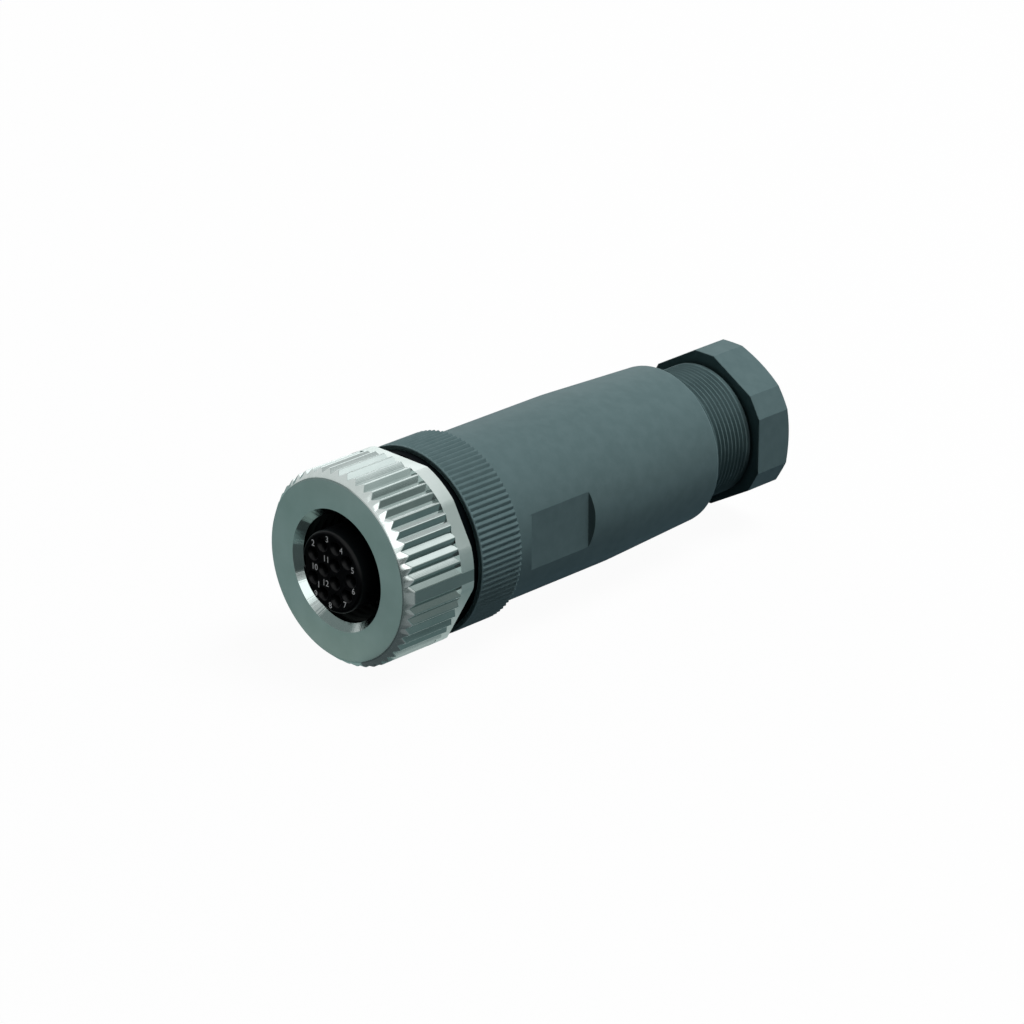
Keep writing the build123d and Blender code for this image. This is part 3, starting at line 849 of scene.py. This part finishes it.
# Lamps: places and sizes in metres, powers in watts. Three soft ones light the plastic
middle = (0, 0.028, 0)
key = area_light("key_above_right", (0.15, 0.27, 0.57), middle, 0.35, 3.6)
fill = area_light("fill_left", (-0.55, 0.10, 0.22), middle, 0.30, 0.75)
rim = area_light("rim_right", (0.50, 0.42, 0.03), middle, 0.25, 0.85)
for lamp in (key, fill, rim):
    lamp.visible_glossy = False
# The nut's plate mirrors soft boxes of its own: two above and behind it for the crests and the
# top, and one by the eye for the cone
sheen_back = area_light("sheen_back", (0.105, 0.417, 0.445), middle, 0.28, 0.26)
sheen_top = area_light("sheen_top", (-0.37, 0.40, 0.22), middle, 0.34, 0.60)
sheen_front = area_light("sheen_front", (0.40, -0.42, 0.40), middle, 0.56, 1.6)
polished = bpy.data.collections.new("polished")
polished.objects.link(coupling_nut)
for lamp in (sheen_back, sheen_top, sheen_front):
    lamp.visible_diffuse = False
    lamp.light_linking.receiver_collection = polished
# A lamp for the printed numbers alone, since the mouth of the nut stands in the shade
ink_lamp = area_light("ink_lamp", (0.2, -0.4, 0.2), (0, 0, 0), 0.2, 0.55)
printed = bpy.data.collections.new("printed")
printed.objects.link(numbers)
ink_lamp.light_linking.receiver_collection = printed
# A light table shines up from behind on the moulded pieces, and the floor doesn't block it
table = area_light("light_table", (0.20, 0.40, -0.25), middle, 0.40, 1.0, "#D4E0F0")
table.visible_glossy = False
moulded = bpy.data.collections.new("moulded")
for piece in (front_body, housing, gland_screw):
    moulded.objects.link(piece)
table.light_linking.receiver_collection = moulded
table.light_linking.blocker_collection = moulded


def white_to_eye(tree):
    """1 for rays from the camera and for those in gloss and in glass, 0 for all the others."""
    path = node(tree, "ShaderNodeLightPath")
    through = node(tree, "ShaderNodeMath", {"operation": "MAXIMUM"},
                   (path.outputs["Is Camera Ray"], path.outputs["Is Transmission Ray"]))
    seen = node(tree, "ShaderNodeMath", {"operation": "MAXIMUM"},
                (through.outputs[0], path.outputs["Is Glossy Ray"]))
    return seen.outputs[0]


world = bpy.data.worlds.new("studio")
world.use_nodes = True
world_tree = world.node_tree
world_tree.nodes.clear()
dim = node(world_tree, "ShaderNodeBackground", {"Color": linear("#E4ECEE"), "Strength": 0.02})
bright = node(world_tree, "ShaderNodeBackground", {"Color": linear("#FFFFFF"), "Strength": 1.0})
choose = node(world_tree, "ShaderNodeMixShader", None,
              (white_to_eye(world_tree), dim.outputs[0], bright.outputs[0]))
node(world_tree, "ShaderNodeOutputWorld", None, (choose.outputs[0],))
bpy.context.scene.world = world


def sheet(name, material, corners):
    """A flat sheet of a stage material with its four corners in metres."""
    mesh = bpy.data.meshes.new(name)
    mesh.from_pydata(corners, [], [(0, 1, 2, 3)])
    mesh.materials.append(material)
    piece = bpy.data.objects.new(name, mesh)
    bpy.context.scene.collection.objects.link(piece)
    return piece


def level(across, along, layer=0):
    """Corners of a level sheet between two places across and two along. Layer 0 is the floor, and
    each layer lies one gap over the one before."""
    height = floor_height + layer * card_gap
    return [(across[i], along[j], height) for i, j in ((0, 0), (1, 0), (1, 1), (0, 1))]


def standing(foot, low, high):
    """Corners of a standing sheet over a line between two places on the floor."""
    (x0, y0), (x1, y1) = foot
    return [(x0, y0, low), (x1, y1, low), (x1, y1, high), (x0, y0, high)]


# Floor: a white card that keeps a pale shadow; most of its white is its own to the eye
own_white = 0.96
floor_height = -nut_radius * MM
card_gap = 0.0001
floor_material, floor_tree, floor_shader, _ = new_material("white_card")
floor_shader.inputs["Base Color"].default_value = linear("#FFFFFF")
floor_shader.inputs["Roughness"].default_value = 0.9
floor_own = node(floor_tree, "ShaderNodeEmission", {"Color": linear("#FFFFFF"), "Strength": 1.0})
floor_share = node(floor_tree, "ShaderNodeMath", {"operation": "MULTIPLY"},
                   (white_to_eye(floor_tree), own_white))
floor_mix = node(floor_tree, "ShaderNodeMixShader", None,
                 (floor_share.outputs[0], floor_shader.outputs["BSDF"], floor_own.outputs[0]))
floor_tree.links.new(floor_mix.outputs[0], floor_tree.get_output_node("ALL").inputs["Surface"])
sheet("floor", floor_material, level((-2, 2), (-2, 2)))

# A black card just over the floor, unseen by the eye, keeps the white floor's bounce off the object
bounce_material, _, bounce_shader, _ = new_material("black_card")
bounce_shader.inputs["Base Color"].default_value = linear("#30383C")
bounce_shader.inputs["Roughness"].default_value = 0.9
bounce_card = sheet("black_card", bounce_material, level((-0.6, 0.6), (-0.6, 0.6), 1))
bounce_card.visible_glossy = False

# Glowing cards that show in the nut's plate alone, as studio flags. The first two cover the halves
# of the floor and give the face and the knurl their grey. Smaller ones lie on them before, under
# and beside the nut, for the chamfer, the cone and the lower flanks. Two flags stand by the mouth
# and a low card at the right in front, for the chamfer and the cone, and two cards stand one on
# the other at the right, for the flanks that look sideways
mouth_flag = [(-0.0018, -0.0004, -0.006), (0.0012, -0.0004, -0.006), (-0.0002, -0.0056, -0.006),
              (-0.0065, -0.0039, -0.006)]
left_flag_foot = ((-0.060, -0.010), (-0.004, -0.010))
horizon_foot = ((0.32, -0.15), (0.10, -0.35))
side_foot = ((0.27, 0.02), (0.05, 0.30))
cards = [bounce_card]
for name, colour, corners in (
        ("grey_card_left", "#8BA3A1", level((-0.6, 0.003), (-0.6, 0.6), 2)),
        ("grey_card_right", "#7C9292", level((0.003, 0.6), (-0.6, 0.6), 3)),
        ("pale_card_front", "#A6ABAC", level((0.021, 0.6), (-0.028, 0), 4)),
        ("dark_card_front", "#5A6464", level((0.0028, 0.6), (-0.6, -0.028), 4)),
        ("pale_card_foot", "#9BB0AB", level((-0.012, 0.0015), (-0.0055, -0.0003), 4)),
        ("pale_card_under", "#DCE6E4", level((0.0045, 0.0095), (0.003, 0.014), 5)),
        ("dark_card_right", "#5C6C6C", level((0.0185, 0.0235), (0.010, 0.019), 5)),
        ("dark_card_mouth", "#5E6868", level((0.0028, 0.021), (-0.028, -0.006), 6)),
        ("dark_card_foot", "#586062", level((0.0028, 0.0115), (-0.006, 0.0015), 6)),
        ("grey_card_foot", "#868A8C", level((0.0115, 0.021), (-0.006, 0.0015), 6)),
        ("black_flag_mouth", "#414949", mouth_flag),
        ("grey_flag_mouth", "#9FAAA9", standing(left_flag_foot, 0.004, 0.018)),
        ("dark_card_horizon", "#5A6464", standing(horizon_foot, floor_height, 0.034)),
        ("grey_card_standing", "#8E9A98", standing(side_foot, floor_height, 0.11)),
        ("pale_card_standing", "#E2ECEA", standing(side_foot, 0.11, 0.20))):
    card_material, card_tree, card_shader, _ = new_material(name)
    card_tree.nodes.remove(card_shader)
    glow = node(card_tree, "ShaderNodeEmission", {"Color": linear(colour), "Strength": 1.0})
    card_tree.links.new(glow.outputs[0], card_tree.get_output_node("ALL").inputs["Surface"])
    card = sheet(name, card_material, corners)
    card.visible_diffuse = False
    card.light_linking.receiver_collection = polished
    cards.append(card)
for card in cards:
    card.visible_camera = False
    card.visible_shadow = False
    card.visible_transmission = False

bpy.context.scene.view_settings.view_transform = "Standard"
